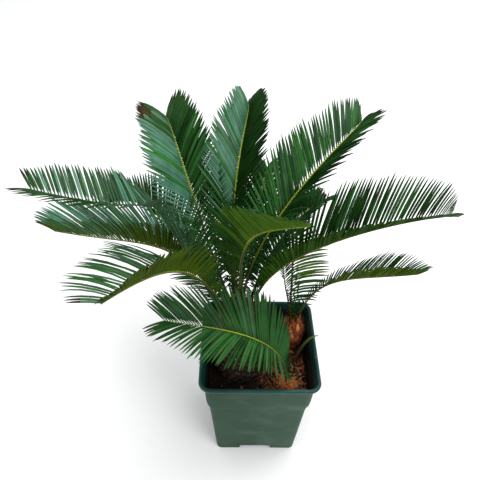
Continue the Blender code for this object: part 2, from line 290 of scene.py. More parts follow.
body = Finish("pot_plastic_body", 0.55, 0.12)
green = ((0.30, (0.017, 0.045, 0.027)), (0.70, (0.040, 0.083, 0.054)))
base = body.ramp(body.noise(9, 5, (1, 1, 0.8), 0.4), *green)
dust = body.patches(body.noise(19, 8, (1, 1, 1.9), 0.3), 0.52, 0.78, 0.40)
dusty = body.blend(dust, base, (0.110, 0.145, 0.120))
scuff = body.patches(body.noise(60, 5, (1.0, 1.0, 0.12), 0.6), 0.62, 0.80, 0.22)
body.paint(body.blend(scuff, dusty, (0.070, 0.070, 0.055)))
body.relief(body.noise(900, 3), 0.00012, 0.6)
rim = Finish("pot_plastic_rim", 0.32, 0.25)
base = rim.ramp(rim.noise(16, 4), (0.30, (0.002, 0.024, 0.020)), (0.70, (0.006, 0.060, 0.050)))
dust = rim.patches(rim.noise(70, 6, (1, 1, 1), 1.0), 0.58, 0.78, 0.20)
rim.paint(rim.blend(dust, base, (0.12, 0.17, 0.15)))
rim.relief(rim.noise(500, 3), 0.00010, 0.4)
# The inside walls are painted near black, a painted shade for the deep shadow inside the pot; the brown
# patches on them are real soil stains.
inside = Finish("pot_plastic_inside", 0.55, 0.25)
base = inside.ramp(
    inside.noise(60, 5, (1, 1, 0.06)), (0.35, (0.0035, 0.0055, 0.0050)), (0.75, (0.014, 0.018, 0.015)),
)
stain = inside.patches(inside.noise(30, 6, (1, 1, 0.4), 0.8), 0.52, 0.72, 0.7)
inside.paint(inside.blend(stain, base, (0.018, 0.011, 0.007)))
inside.relief(inside.noise(260, 5, (1, 1, 0.2)), 0.0003, 0.5)
for finish in (body, rim, inside):
    pot.data.materials.append(finish.made)
# Faces of the lip take the rim finish, and faces inside the pot take the near-black inside finish, a painted
# shade.
for face in pot.data.polygons:
    middle, normal = face.center, face.normal
    if middle.z > 0.1911:
        face.material_index = 1
    elif middle.z > 0.0125 and (normal.x * middle.x + normal.y * middle.y < 0 or normal.z > 0.5):
        face.material_index = 2
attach(pot, "root")
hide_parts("pot")


# Peaty potting mix fills the pot to five centimetres under its rim, with an uneven, crumbly top.
# It is one closed bed, heaped a little at the front right, and the foot of each caudex is pressed into it.
SOIL_TOP = 0.148
SOIL_INSET = POT_WALL + 0.0003
levels = [wall(z, SOIL_INSET) for z in (0.0139, 0.129, 0.139, SOIL_TOP - 0.0015)]
for share in np.linspace(0.985, 0.02, 34):
    levels.append([(x * share, y * share, SOIL_TOP) for x, y, _ in wall(SOIL_TOP, SOIL_INSET)])
soil = drawn_up("soil_bed", levels)
bpy.ops.object.select_all(action="DESELECT")
soil.select_set(True)
bpy.context.view_layer.objects.active = soil
bpy.ops.object.mode_set(mode="EDIT")
shape = bmesh.from_edit_mesh(soil.data)
for face in shape.faces:
    face.select = all(v.co.z > SOIL_TOP - 0.0001 for v in face.verts) and face.calc_area() < 0.00002
bmesh.update_edit_mesh(soil.data)
bpy.ops.mesh.subdivide(number_cuts=2)
bpy.ops.object.mode_set(mode="OBJECT")


def hills(x, y, wave, seed):
    """Smooth uneven ground between -1 and 1, from a few crossing waves."""
    chance = np.random.default_rng(seed)
    total = np.zeros_like(x)
    for _ in range(7):
        bearing, shift = chance.uniform(0, 2 * math.pi, 2)
        length = wave * chance.uniform(0.6, 1.7)
        total += np.sin((x * math.cos(bearing) + y * math.sin(bearing)) * 2 * math.pi / length + shift)
    return total / 4.5


spots = np.empty(len(soil.data.vertices) * 3)
soil.data.vertices.foreach_get("co", spots)
spots = spots.reshape(-1, 3)
top = spots[:, 2] > SOIL_TOP - 0.0001
x, y = spots[top, 0], spots[top, 1]
heap = 0.0022 * hills(x, y, 0.045, 3) + 0.0012 * hills(x, y, 0.013, 4) + 0.0007 * hills(x, y, 0.006, 5)
heap += 0.0030 * np.exp(-((x - 0.045) ** 2 + (y + 0.045) ** 2) / 0.03 ** 2)
spots[top, 2] += np.clip(heap, -0.004, 0.006) - 0.0015
soil.data.vertices.foreach_set("co", spots.ravel())
for face in soil.data.polygons:
    face.use_smooth = True


def mottled(name, roughness, specular, grain, stops, bumps, depth, strength=1.0):
    """A finish that one noise mottles through a few colours and a finer one roughens."""
    finish = Finish(name, roughness, specular)
    finish.paint(finish.ramp(finish.noise(*grain), *stops))
    finish.relief(finish.noise(*bumps), depth, strength)
    return finish.made


peat = ((0.30, (0.004, 0.0025, 0.002)), (0.55, (0.016, 0.009, 0.006)), (0.78, (0.060, 0.028, 0.015)))
soil.data.materials.append(
    mottled("potting_mix", 0.95, 0.2, (220, 8, (1, 1, 1), 0.5), peat, (700, 8), 0.0016)
)
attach(soil, "root")
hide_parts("soil")


# Bark chips and dry fibres lie loose on the mix, thickest at the front right, with a few grains of perlite,
# two of them caught on the main caudex. Each is a copy of one small split piece, turned by chance, and the
# chips are pressed a little into the mix.
def template_of(obj):
    """The corner places and faces of a piece that is to be copied. The piece itself is put away."""
    places = np.array([v.co[:] for v in obj.data.vertices])
    faces = [tuple(f.vertices) for f in obj.data.polygons]
    bpy.data.objects.remove(obj)
    return places, faces


def joined(name, blocks, faces, finishes, indices, smooth=True):
    """One mesh of many copies, from the corner places of each and the faces they share.

    Indices says which finish each face of each copy has, or each copy, or all of them.
    """
    copies, corners = blocks.shape[:2]
    mesh = bpy.data.meshes.new(name)
    every = [[corner + corners * copy for corner in face] for copy in range(copies) for face in faces]
    mesh.from_pydata(blocks.reshape(-1, 3), [], every)
    for finish in finishes:
        mesh.materials.append(finish)
    mesh.polygons.foreach_set("material_index", np.broadcast_to(indices, (copies, len(faces))).ravel())
    mesh.polygons.foreach_set("use_smooth", np.full(len(every), smooth))
    mesh.update()
    piece = bpy.data.objects.new(name, mesh)
    bpy.context.scene.collection.objects.link(piece)
    return piece


def turns_of(angles):
    return np.array([Euler(row).to_matrix() for row in angles])


def unit(rows):
    return rows / np.linalg.norm(rows, axis=-1, keepdims=True)


def ground(x, y):
    """Height of the mix at each place, read from the bed itself."""
    near = spots[top]
    nearest = [np.argmin((near[:, 0] - a) ** 2 + (near[:, 1] - b) ** 2) for a, b in zip(x, y)]
    return near[nearest, 2]


chip = added(bpy.ops.mesh.primitive_ico_sphere_add, subdivisions=1, radius=0.5)
bpy.ops.object.mode_set(mode="EDIT")
bpy.ops.transform.resize(value=(1.0, 0.62, 0.36), center_override=(0, 0, 0))
bpy.ops.transform.vertex_random(offset=0.12, seed=4)
bpy.ops.object.mode_set(mode="OBJECT")
chip_places, chip_faces = template_of(chip)
chance = np.random.default_rng(11)
right, everywhere = 620, 280
x = np.concatenate((chance.uniform(-0.002, 0.074, right), chance.uniform(-0.074, 0.074, everywhere)))
y = np.concatenate((chance.uniform(-0.074, 0.055, right), chance.uniform(-0.074, 0.074, everywhere)))
keep = (np.hypot(x + 0.029, y + 0.001) > 0.040) & (np.hypot(x - 0.0565, y - 0.045) > 0.0165)
x, y = x[keep], y[keep]
count = len(x)
size = chance.gamma(2.6, 0.0016, count).clip(0.0015, 0.0110)
spin = turns_of(chance.uniform((-0.5, -0.5, 0), (0.5, 0.5, 6.28), (count, 3)))
blocks = np.einsum("nij,kj->nki", spin, chip_places) * size[:, None, None]
blocks *= chance.uniform(0.75, 1.3, (count, 1, 3))
blocks += np.stack((x, y, ground(x, y) + 0.12 * size), axis=1)[:, None, :]
barks = [
    mottled(name, 0.9, 0.2, (420, 6, (1, 1, 1), 0.6), ((0.30, low), (0.72, high)), (1400, 4), 0.0005)
    for name, low, high in (
        ("chip_dark", (0.012, 0.006, 0.004), (0.050, 0.022, 0.012)),
        ("chip_red", (0.115, 0.034, 0.014), (0.380, 0.125, 0.052)),
        ("chip_tan", (0.230, 0.095, 0.042), (0.520, 0.250, 0.125)),
    )
]
# Chips further right are dealt the red and tan finishes more often and those further left the dark one: a
# painted light on the right of the mix and a painted shade on its left.
painted_light_share = np.clip((x + 0.01) / 0.05, 0, 1)
kind = np.where(chance.random(count) < 0.30 + 0.45 * painted_light_share, 1, 0)
kind = np.where((chance.random(count) < 0.16 * painted_light_share) & (kind == 1), 2, kind)
chips = joined("bark_chips", blocks, chip_faces, barks, kind[:, None], smooth=False)
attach(chips, "root")

fibre = added(
    bpy.ops.mesh.primitive_cylinder_add, vertices=4, radius=0.5, depth=1, rotation=(0, math.pi / 2, 0),
    end_fill_type="NGON",
)
bpy.ops.object.transform_apply(location=False, rotation=True, scale=False)
bpy.ops.object.mode_set(mode="EDIT")
for cut_at in (-0.3, -0.1, 0.1, 0.3):
    bpy.ops.mesh.select_all(action="SELECT")
    bpy.ops.mesh.bisect(plane_co=(cut_at, 0, 0), plane_no=(1, 0, 0))
bpy.ops.object.mode_set(mode="OBJECT")
fibre_places, fibre_faces = template_of(fibre)


def strands(name, starts, headings, lengths, thickness, sag, finish):
    """Hair-thin tapering fibres, each running from its start along its heading and sagging on the way."""
    along = fibre_places[:, 0] + 0.5
    heading = unit(headings)
    side = unit(np.cross(heading, (0.03, 0.02, 1.0)))
    over = np.cross(side, heading)
    path = starts[:, None, :] + lengths[:, None, None] * along[None, :, None] * heading[:, None, :]
    path += lengths[:, None, None] * (along ** 2)[None, :, None] * sag[:, None, :]
    thin = thickness * (1 - 0.55 * along)
    offset = fibre_places[None, :, 1, None] * side[:, None, :]
    offset = offset + fibre_places[None, :, 2, None] * over[:, None, :]
    return joined(name, path + thin[None, :, None] * offset, fibre_faces, [finish], 0)


straw = mottled(
    "dry_fibre", 0.85, 0.25, (90, 4), ((0.30, (0.160, 0.058, 0.022)), (0.72, (0.600, 0.280, 0.130))),
    (900, 2), 0.0002,
)
count = 300
x = chance.uniform(0.002, 0.072, count)
y = chance.uniform(-0.072, 0.020, count)
starts = np.stack((x, y, ground(x, y) + 0.0008), axis=1)
bearing = chance.uniform(0, 6.28, count)
headings = np.stack((np.cos(bearing), np.sin(bearing), chance.uniform(0.05, 0.55, count)), axis=1)
curl = (chance.normal(0, 0.25, count), chance.normal(0, 0.25, count), chance.uniform(-0.5, -0.15, count))
litter = strands(
    "soil_fibres", starts, headings, chance.uniform(0.006, 0.020, count), 0.00042, np.stack(curl, axis=1),
    straw,
)
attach(litter, "root")

perlite = mottled(
    "perlite", 0.8, 0.3, (600, 4), ((0.30, (0.62, 0.50, 0.27)), (0.70, (0.86, 0.74, 0.48))),
    (1500, 4), 0.0004,
)
grains = np.array((
    (-0.0405, -0.0365, 0.2030), (-0.036, -0.0365, 0.2035), (0, -0.056, 0.1555), (0.030, -0.058, 0.1520),
    (-0.060, -0.062, 0.1500), (0.056, -0.012, 0.1515), (0.062, 0.066, 0.1505), (-0.010, 0.064, 0.1500),
))
spin = turns_of(chance.uniform(0, 3, (len(grains), 3)))
blocks = np.einsum("nij,kj->nki", spin, chip_places * (1, 1.3, 2.0)) * 0.0026 + grains[:, None, :]
specks = joined("perlite_grains", blocks, chip_faces, [perlite], 0, smooth=False)
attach(specks, "root")


# The main caudex is the palm's short trunk, a woody egg with its foot in the mix, covered in old leaf bases.
# They stand in crossing spirals, each a low diamond boss with a dark gap round it.
CAUDEX_AT = np.array((-0.029, -0.001))
CAUDEX_RADIUS, CAUDEX_FOOT, CAUDEX_TOP = 0.046, 0.1483, 0.255
CAUDEX_LEAN = 0.026
GOLDEN_ANGLE = math.radians(137.508)


def on_egg(share, angle, at, radius, foot, top, lean):
    """Places on a smooth egg that leans back, at a share of its height and an angle round it."""
    wide = radius * np.sqrt(np.clip(1 - ((share - 0.40) / 0.62) ** 2, 0, 1))
    x = at[0] + wide * np.cos(angle)
    y = at[1] + lean * share + wide * np.sin(angle)
    return np.stack((x, y, foot + share * (top - foot)), axis=-1)


def bossed_ball(name, egg, bosses, tall, segments, rings, finish):
    """An egg raised into bosses along a spiral. Each point keeps how far it is from a gap, as net."""
    at, radius, foot, top, lean = egg
    ball = added(bpy.ops.mesh.primitive_uv_sphere_add, segments=segments, ring_count=rings, radius=1)
    ball.name = name
    rest = np.array([v.co[:] for v in ball.data.vertices])
    share = (rest[:, 2] + 1) / 2
    skin = on_egg(share, np.arctan2(rest[:, 1], rest[:, 0]), *egg)
    skin[share < 0.002] = (at[0], at[1], foot)
    skin[share > 0.998] = (at[0], at[1] + lean, top)
    number = np.arange(bosses)
    boss = on_egg(0.02 + 0.97 * (number + 0.5) / bosses, number * GOLDEN_ANGLE, *egg)
    boss += np.random.default_rng(7).normal(0, 0.035 * radius, boss.shape)
    away = np.linalg.norm((skin[:, None, :] - boss[None, :, :]) * np.array((1.0, 1.0, 1.35)), axis=2)
    order = np.argsort(away, axis=1)[:, :2]
    first, second = np.take_along_axis(away, order, 1).T
    edge = np.clip((second - first) / (0.35 * (first + second)), 0, 1)
    rough = np.random.default_rng(bosses).uniform(0.55, 1.0, bosses)[order[:, 0]]
    above = skin[:, 2] - boss[order[:, 0], 2]
    out = unit(skin - np.array((at[0], at[1] + lean * 0.4, foot + 0.35 * (top - foot))))
    lift = tall * rough * (edge ** 0.7) * (1 + 55 * above) - 0.5 * tall
    skin += out * lift[:, None]
    ball.data.vertices.foreach_set("co", skin.ravel())
    net = ball.data.attributes.new("net", "FLOAT", "POINT")
    net.data.foreach_set("value", edge * rough)
    for face in ball.data.polygons:
        face.use_smooth = True
    ball.data.materials.append(finish)
    return ball


def bark_finish(name, gap, body, ridge):
    """Dark in the gaps between the bosses, paler on top of them, with grime over both."""
    finish = Finish(name, 0.9, 0.25)
    shade = finish.ramp(finish.kept("net"), (0.05, gap), (0.40, body), (0.95, ridge))
    grime = finish.patches(finish.noise(160, 6, swirl=0.8), 0.40, 0.70, 0.75)
    finish.paint(finish.blend(grime, shade, gap))
    finish.relief(finish.noise(480, 8, (1, 1, 0.5)), 0.0014)
    return finish.made


bark = bark_finish("caudex_bark", (0.010, 0.006, 0.004), (0.048, 0.030, 0.020), (0.130, 0.088, 0.060))
caudex = bossed_ball(
    "caudex_bark", (CAUDEX_AT, CAUDEX_RADIUS - 0.0006, CAUDEX_FOOT - 0.004, CAUDEX_TOP, CAUDEX_LEAN),
    bosses=300, tall=0.0020, segments=168, rings=104, finish=bark,
)
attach(caudex, "root")
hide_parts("caudex")


# Short woolly scales stand in a ring round the growing point, between the feet of the fronds.
# They are one pointed scale copied up the shoulder of the caudex, rust coloured where the wool is fresh.
def six_sided():
    """A flat six-cornered disc that faces along X, left in edit mode to be drawn out."""
    disc = added(
        bpy.ops.mesh.primitive_circle_add, vertices=6, radius=0.5, rotation=(0, math.pi / 2, 0),
        fill_type="NGON",
    )
    bpy.ops.object.transform_apply(location=False, rotation=True, scale=False)
    bpy.ops.object.mode_set(mode="EDIT")
    bpy.ops.mesh.select_all(action="SELECT")
    return disc


def drawn_out(stations):
    """Extrudes the disc along X. Each station is (reach, rise, size against the one before)."""
    reached = 0.0
    for reach, rise, size in stations:
        bpy.ops.mesh.extrude_region_move(TRANSFORM_OT_translate={"value": (reach - reached, 0, rise)})
        bpy.ops.transform.resize(value=(1, size, size), center_override=(reach, 0, 0))
        reached = reach
    bpy.ops.mesh.select_all(action="SELECT")
    bpy.ops.mesh.normals_make_consistent(inside=False)
    bpy.ops.object.mode_set(mode="OBJECT")


scale = six_sided()
bpy.ops.transform.resize(value=(1, 1, 0.42), center_override=(0, 0, 0))
drawn_out([
    (reach, 0.10 * reach ** 2, size) for reach, size in ((0.25, 1.12), (0.5, 0.86), (0.75, 0.62), (1.0, 0.14))
])
scale_places, scale_faces = template_of(scale)


def scales(name, at, roots, leans, wobble, lengths, widths, spread, finishes, fresh):
    """Pointed scales at their roots, each leaning away from the axis through at by its own angle.

    Wobble and spread vary the lean and the bearing, and a share of them, fresh, has the second finish.
    """
    count = len(roots)
    lean = leans + chance.normal(0, wobble, count)
    length = chance.uniform(*lengths, (count, 1, 1))
    width = chance.uniform(*widths, (count, 1, 1))
    kinds = (chance.random(count) < fresh).astype(int)
    bearing = np.arctan2(*(roots[:, :2] - np.array(at)).T[::-1]) + chance.normal(0, spread, count)
    point = np.stack((np.cos(bearing) * np.sin(lean), np.sin(bearing) * np.sin(lean), np.cos(lean)), axis=1)
    side = np.stack((-np.sin(bearing), np.cos(bearing), np.zeros_like(bearing)), axis=1)
    back = np.cross(point, side)
    blocks = roots[:, None, :] + length * scale_places[None, :, 0, None] * point[:, None, :]
    blocks = blocks + width * scale_places[None, :, 1, None] * side[:, None, :]
    blocks = blocks + width * scale_places[None, :, 2, None] * back[:, None, :]
    return joined(name, blocks, scale_faces, finishes, kinds[:, None])


def fleece(name, egg, count, shares, outward, rises, lengths, thickness, curl, finish):
    """Curled fibres rooted by chance between two shares of an egg's height, pointing outward and up."""
    turn = chance.uniform(0, 6.283, count)
    roots = on_egg(chance.uniform(*shares, count), turn, *egg)
    headings = (outward * np.cos(turn), outward * np.sin(turn), chance.uniform(*rises, count))
    return strands(
        name, roots, np.stack(headings, axis=1), chance.uniform(*lengths, count), thickness,
        chance.normal(0, curl, (count, 3)), finish,
    )


wools = []
for name, low, high in (
    ("scale_brown", (0.050, 0.022, 0.012), (0.170, 0.075, 0.038)),
    ("scale_rust", (0.260, 0.070, 0.016), (0.660, 0.215, 0.055)),
):
    wool = mottled(
        name, 0.9, 0.2, (260, 6, (1, 1, 0.3)), ((0.30, low), (0.72, high)), (900, 5, (1, 1, 0.15)), 0.0006,
    )
    wool.node_tree.nodes["Principled BSDF"].inputs["Sheen Weight"].default_value = 0.08
    wools.append(wool)
chance = np.random.default_rng(21)
crown = (CAUDEX_AT, CAUDEX_RADIUS - 0.001, CAUDEX_FOOT, CAUDEX_TOP - 0.001, CAUDEX_LEAN)
crown_axis = (-0.029, 0.024)
count = 130
number = np.arange(count)
roots = on_egg(1.0 - 0.16 * (number + 0.5) / count, number * GOLDEN_ANGLE, *crown)
roots[:, :2] += (roots[:, :2] - crown_axis) * chance.uniform(-0.5, 0.0, (count, 1))
crown_scales = scales(
    "crown_scales", crown_axis, roots, leans=np.linspace(0.15, 1.0, count), wobble=0.1,
    lengths=(0.009, 0.017), widths=(0.0045, 0.0075), spread=0.2, finishes=wools, fresh=0.45,
)
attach(crown_scales, "root")
wool = fleece(
    "crown_wool", crown, 420, shares=(0.86, 1.0), outward=1, rises=(0.4, 1.6), lengths=(0.006, 0.014),
    thickness=0.0004, curl=0.3, finish=wools[1],
)
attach(wool, "root")


# A side shoot has its own small caudex in the back right corner, an egg of overlapping reddish leaf bases.
# They are cut back short, dry and fibrous, with paler torn edges, and three young fronds stand on it.
OFFSET_AT = np.array((0.0565, 0.0450))
husk = bark_finish("offset_husk", (0.180, 0.046, 0.013), (0.400, 0.102, 0.029), (0.480, 0.142, 0.042))
offset = bossed_ball(
    "offset_bulb", (OFFSET_AT, 0.0192, 0.1455, 0.2045, 0.0),
    bosses=26, tall=0.0014, segments=96, rings=64, finish=husk,
)
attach(offset, "root")
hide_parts("offset_caudex")
count = 44
number = np.arange(count)
share = 0.18 + 0.76 * (number + 0.5) / count
roots = on_egg(share, number * GOLDEN_ANGLE, OFFSET_AT, 0.0178, 0.1483, 0.2035, 0.0)
plates = scales(
    "offset_scales", OFFSET_AT, roots, leans=0.5 - 1.15 * (share - 0.1), wobble=0.06,
    lengths=(0.013, 0.019), widths=(0.0075, 0.0110), spread=0.12, finishes=[husk, wools[1]], fresh=0.30,
)
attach(plates, "root")
shreds = fleece(
    "offset_fibres", (OFFSET_AT, 0.0190, 0.1483, 0.2040, 0.0), 240, shares=(0.10, 0.98), outward=0.45,
    rises=(0.7, 1.5), lengths=(0.004, 0.011), thickness=0.0004, curl=0.2, finish=straw,
)
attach(shreds, "root")


# A second, much smaller side shoot sits at the front right, a tuft of orange wool and split fibres.
# One long frond grows from it and arches left across the pot.
FRONT_AT = np.array((0.044, -0.048))
tuft_skin = bark_finish("tuft_husk", (0.130, 0.038, 0.010), (0.480, 0.150, 0.040), (0.760, 0.300, 0.095))
tuft = bossed_ball(
    "front_tuft", (FRONT_AT, 0.0090, 0.1465, 0.1655, 0.0),
    bosses=18, tall=0.0010, segments=64, rings=40, finish=tuft_skin,
)
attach(tuft, "root")
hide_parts("front_offset")
orange = mottled(
    "tuft_wool", 0.9, 0.2, (300, 4), ((0.30, (0.520, 0.150, 0.034)), (0.70, (0.960, 0.430, 0.150))),
    (900, 3), 0.0003,
)
fuzz = fleece(
    "front_tuft_wool", (FRONT_AT, 0.0085, 0.1483, 0.1655, 0.0), 420, shares=(0.05, 1.0), outward=1,
    rises=(0.2, 1.8), lengths=(0.005, 0.012), thickness=0.00045, curl=0.35, finish=orange,
)
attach(fuzz, "root")


# A single young leaf, still rolled into a slim green spear, leans out over the rim from the right of the
# mix. Its foot is a dry orange-brown sheath.
def bezier(route, t):
    t = np.asarray(t, float)[..., None]
    u = 1 - t
    return u ** 3 * route[0] + 3 * u * u * t * route[1] + 3 * u * t * t * route[2] + t ** 3 * route[3]


def tube(name, centres, widths, depths, ups, finish, under, along, sides=10):
    """A closed stem through its centres, with its own half width and half depth at each of them.

    Under is the finish of its lower side, and along is kept at each point for the colours.
    """
    ahead = unit(np.gradient(centres, axis=0))
    across = unit(np.cross(ups, ahead))
    over = np.cross(ahead, across)
    turn = np.arange(sides) * 2 * math.pi / sides
    ring = widths[:, None, None] * np.cos(turn)[None, :, None] * across[:, None, :]
    ring = ring + depths[:, None, None] * np.sin(turn)[None, :, None] * over[:, None, :]
    points = (centres[:, None, :] + ring).reshape(-1, 3)
    count = len(centres)
    faces = []
    for level in range(count - 1):
        for k in range(sides):
            a, b = level * sides + k, level * sides + (k + 1) % sides
            faces.append((a, b, b + sides, a + sides))
    faces.append(tuple(range(sides))[::-1])
    faces.append(tuple(range((count - 1) * sides, count * sides)))
    mesh = bpy.data.meshes.new(name)
    mesh.from_pydata(points.tolist(), [], faces)
    mesh.materials.append(finish)
    # The second finish goes on the lower side; on the ribs it is darker, a painted shade.
    if under is not finish:
        mesh.materials.append(under)
        lower = np.tile(np.sin(turn + math.pi / sides) < -0.35, count - 1)
        mesh.polygons.foreach_set("material_index", np.concatenate((lower, (False, False))).astype(int))
    mesh.polygons.foreach_set("use_smooth", np.ones(len(faces), bool))
    way = mesh.attributes.new("along", "FLOAT", "POINT")
    way.data.foreach_set("value", np.repeat(along, sides))
    piece = bpy.data.objects.new(name, mesh)
    bpy.context.scene.collection.objects.link(piece)
    return piece


def stem_finish(name, *stops):
    """A stem's skin, coloured from foot to tip by these stops, with fine darker flecks."""
    finish = Finish(name, 0.45, 0.2)
    shade = finish.ramp(finish.kept("along"), *stops)
    fleck = finish.patches(finish.noise(240, 4), 0.45, 0.75, 0.45)
    finish.paint(finish.blend(fleck, shade, tuple(0.45 * c for c in stops[-1][1])))
    finish.relief(finish.noise(700, 3), 0.0002, 0.6)
    return finish.made


spear_skin = stem_finish(
    "spear_skin", (0.0, (0.22, 0.075, 0.025)), (0.25, (0.10, 0.075, 0.020)), (0.45, (0.060, 0.105, 0.030)),
    (1.0, (0.120, 0.180, 0.070)),
)
route = np.array((
    (0.063, 0.010, 0.1465), (0.068, 0.007, 0.182), (0.078, 0.004, 0.212), (0.0925, 0.003, 0.2125),
))
t = np.linspace(0, 1, 40)
taper = 1 - 0.80 * t ** 2
spear = tube(
    "young_leaf", bezier(route, t), 0.0030 * taper, 0.0026 * taper, np.tile((0.1, 1.0, 0.2), (len(t), 1)),
    spear_skin, spear_skin, along=t, sides=12,
)
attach(spear, "root")
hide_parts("spear")


# One leaflet serves every frond: a stiff narrow blade with a grooved middle, rolled edges and a sharp tip.
# It is modelled flat along X, one unit long, wide and thick, and is sized, set and bent where it is copied.
LEAFLET_SECTION = ((-0.50, -0.50), (-0.27, 0.34), (0.0, 0.10), (0.27, 0.34), (0.50, -0.50), (0.0, -0.42))
LEAFLET_REACH = (0.03, 0.13, 0.34, 0.60, 0.80, 0.93, 1.0)
LEAFLET_SIZE = (0.62, 0.45, 0.86, 1.0, 0.96, 0.76, 0.40, 0.05)
leaflet = six_sided()
shape = bmesh.from_edit_mesh(leaflet.data)
for vert, (y, z) in zip(shape.faces[:][0].verts, LEAFLET_SECTION):
    vert.co = (0, y * LEAFLET_SIZE[0], z * LEAFLET_SIZE[0])
bmesh.update_edit_mesh(leaflet.data)
drawn_out([
    (reach, 0, size / before) for reach, size, before in zip(LEAFLET_REACH, LEAFLET_SIZE[1:], LEAFLET_SIZE)
])
leaflet_under = np.array([f.normal.z < 0 for f in leaflet.data.polygons])
leaflet_middle = np.array([f.center.x for f in leaflet.data.polygons])
leaf_places, leaf_faces = template_of(leaflet)

# The leaf greens are lit and shaded copies of one glossy green, chosen wing by wing after how the light falls
# on each. leaf_mid and leaf_dull are the plain green, leaf_deep and leaf_dark darker, a painted shade, and
# leaf_bright lighter, a painted light. The pale teal and grey-teal greens are a painted sheen. Of the
# undersides, under_olive is the plain one, under_dark a painted shade and under_light a painted light. A
# wing's few greens are dealt among its leaflets at random. leaf_foot is the pale foot of a leaflet and
# leaf_scorch the brown of dead tips.
greens = {}
for name, low, high, roughness, specular in (
    ("leaf_deep", (0.004, 0.021, 0.002), (0.009, 0.040, 0.005), 0.5, 0.05),
    ("leaf_dark", (0.007, 0.042, 0.006), (0.016, 0.078, 0.012), 0.5, 0.10),
    ("leaf_mid", (0.014, 0.080, 0.012), (0.032, 0.140, 0.024), 0.5, 0.15),
    ("leaf_bright", (0.014, 0.115, 0.010), (0.036, 0.190, 0.024), 0.5, 0.15),
    ("teal_sheen_leaf", (0.034, 0.130, 0.075), (0.085, 0.230, 0.145), 0.45, 0.30),
    ("grey_sheen_leaf", (0.030, 0.095, 0.045), (0.070, 0.170, 0.090), 0.45, 0.25),
    ("leaf_dull", (0.014, 0.050, 0.018), (0.034, 0.090, 0.036), 0.5, 0.14),
    ("under_dark", (0.009, 0.031, 0.002), (0.021, 0.056, 0.004), 0.6, 0.03),
    ("under_olive", (0.023, 0.046, 0.001), (0.040, 0.071, 0.003), 0.6, 0.03),
    ("under_light", (0.032, 0.082, 0.003), (0.058, 0.126, 0.006), 0.6, 0.03),
    ("leaf_foot", (0.130, 0.170, 0.005), (0.240, 0.280, 0.012), 0.5, 0.15),
    ("leaf_scorch", (0.018, 0.016, 0.006), (0.052, 0.036, 0.013), 0.7, 0.08),
):
    greens[name] = mottled(
        name, roughness, specular, (34, 5, (1, 1, 1), 0.4), ((0.32, low), (0.68, high)),
        (1200, 3), 0.00012, 0.5,
    )


# The bright rib is brown at the foot, its own colour, and turns yellow-green towards the middle, partly its
# own colour and partly painted light where the light falls along it. Where a frond has two rib finishes, the
# second, darker one covers the lower side of the rib, a painted shade.
rib_bright = stem_finish(
    "rib_bright", (0.0, (0.075, 0.028, 0.012)), (0.12, (0.060, 0.038, 0.010)), (0.34, (0.130, 0.160, 0.008)),
    (0.60, (0.260, 0.330, 0.008)), (1.0, (0.220, 0.320, 0.012)),
)
rib_olive = stem_finish(
    "rib_olive", (0.0, (0.060, 0.022, 0.009)), (0.12, (0.042, 0.025, 0.007)), (0.42, (0.030, 0.030, 0.005)),
    (0.60, (0.084, 0.092, 0.006)), (1.0, (0.095, 0.115, 0.008)),
)
rib_dark = stem_finish(
    "rib_dark", (0.0, (0.060, 0.024, 0.010)), (0.15, (0.040, 0.028, 0.008)), (0.5, (0.014, 0.034, 0.004)),
    (1.0, (0.016, 0.045, 0.006)),
)


def heading_of(azimuth, rise):
    a, e = math.radians(azimuth), math.radians(rise)
    return np.array((math.cos(e) * math.cos(a), math.cos(e) * math.sin(a), math.sin(e)))


class Rib:
    """The line of a frond's rib and, at any share of its length, which way is ahead, across and up."""

    def __init__(self, foot, azimuth, leave, tip, arrive, roll):
        foot, tip = np.array(foot), np.array(tip)
        after = foot + leave[1] * heading_of(azimuth, leave[0])
        before = tip - arrive[2] * heading_of(*arrive[:2])
        self.fine = bezier((foot, after, before, tip), np.linspace(0, 1, 241))
        self.run = np.concatenate(([0], np.cumsum(np.linalg.norm(np.diff(self.fine, axis=0), axis=1))))
        self.roll = roll

    def at(self, share):
        length = np.clip(share, 0, 1) * self.run[-1]
        return np.stack([np.interp(length, self.run, self.fine[:, k]) for k in range(3)], axis=-1)

    def frame(self, share):
        ahead = unit(self.at(share + 0.01) - self.at(share - 0.01))
        side = unit(np.cross((0, 0, 1), ahead))
        above = np.cross(ahead, side)
        turn = np.radians(self.roll[0] + share * self.roll[1])[:, None]
        return ahead, np.cos(turn) * side + np.sin(turn) * above, np.cos(turn) * above - np.sin(turn) * side


BARE_STEM = 0.14
RIB_TAPER = 0.72
LEAFLET_THICKNESS = 0.26
SPIKES, SPIKE_WIDTH = 10, 0.0020
SPIKE_LENGTHS, SPIKE_LEANS = (0.006, 0.022), (0.9, 1.4)


def rib_of(name, line, stem, rib_skin):
    """The rib as one tube, wider than deep, flared at its foot and sunk a little into the caudex."""
    share = np.concatenate((np.linspace(0, 0.12, 14), np.linspace(0.135, 1, 66)))
    centres = line.at(share)
    ahead, _, up = line.frame(share)
    thin = 1 - RIB_TAPER * share
    flare = 1 + 0.75 * np.clip(1 - share / 0.06, 0, 1)
    sunk = centres[0] - 0.006 * ahead[0]
    widths = stem / 2 * np.concatenate(([1.5], thin * flare))
    depths = stem * 0.4 * np.concatenate(([1], thin))
    return tube(
        f"{name}_rib", np.vstack((sunk, centres)), widths, depths, np.vstack((up[0], up)), *rib_skin,
        along=np.concatenate(([0], share)),
    )


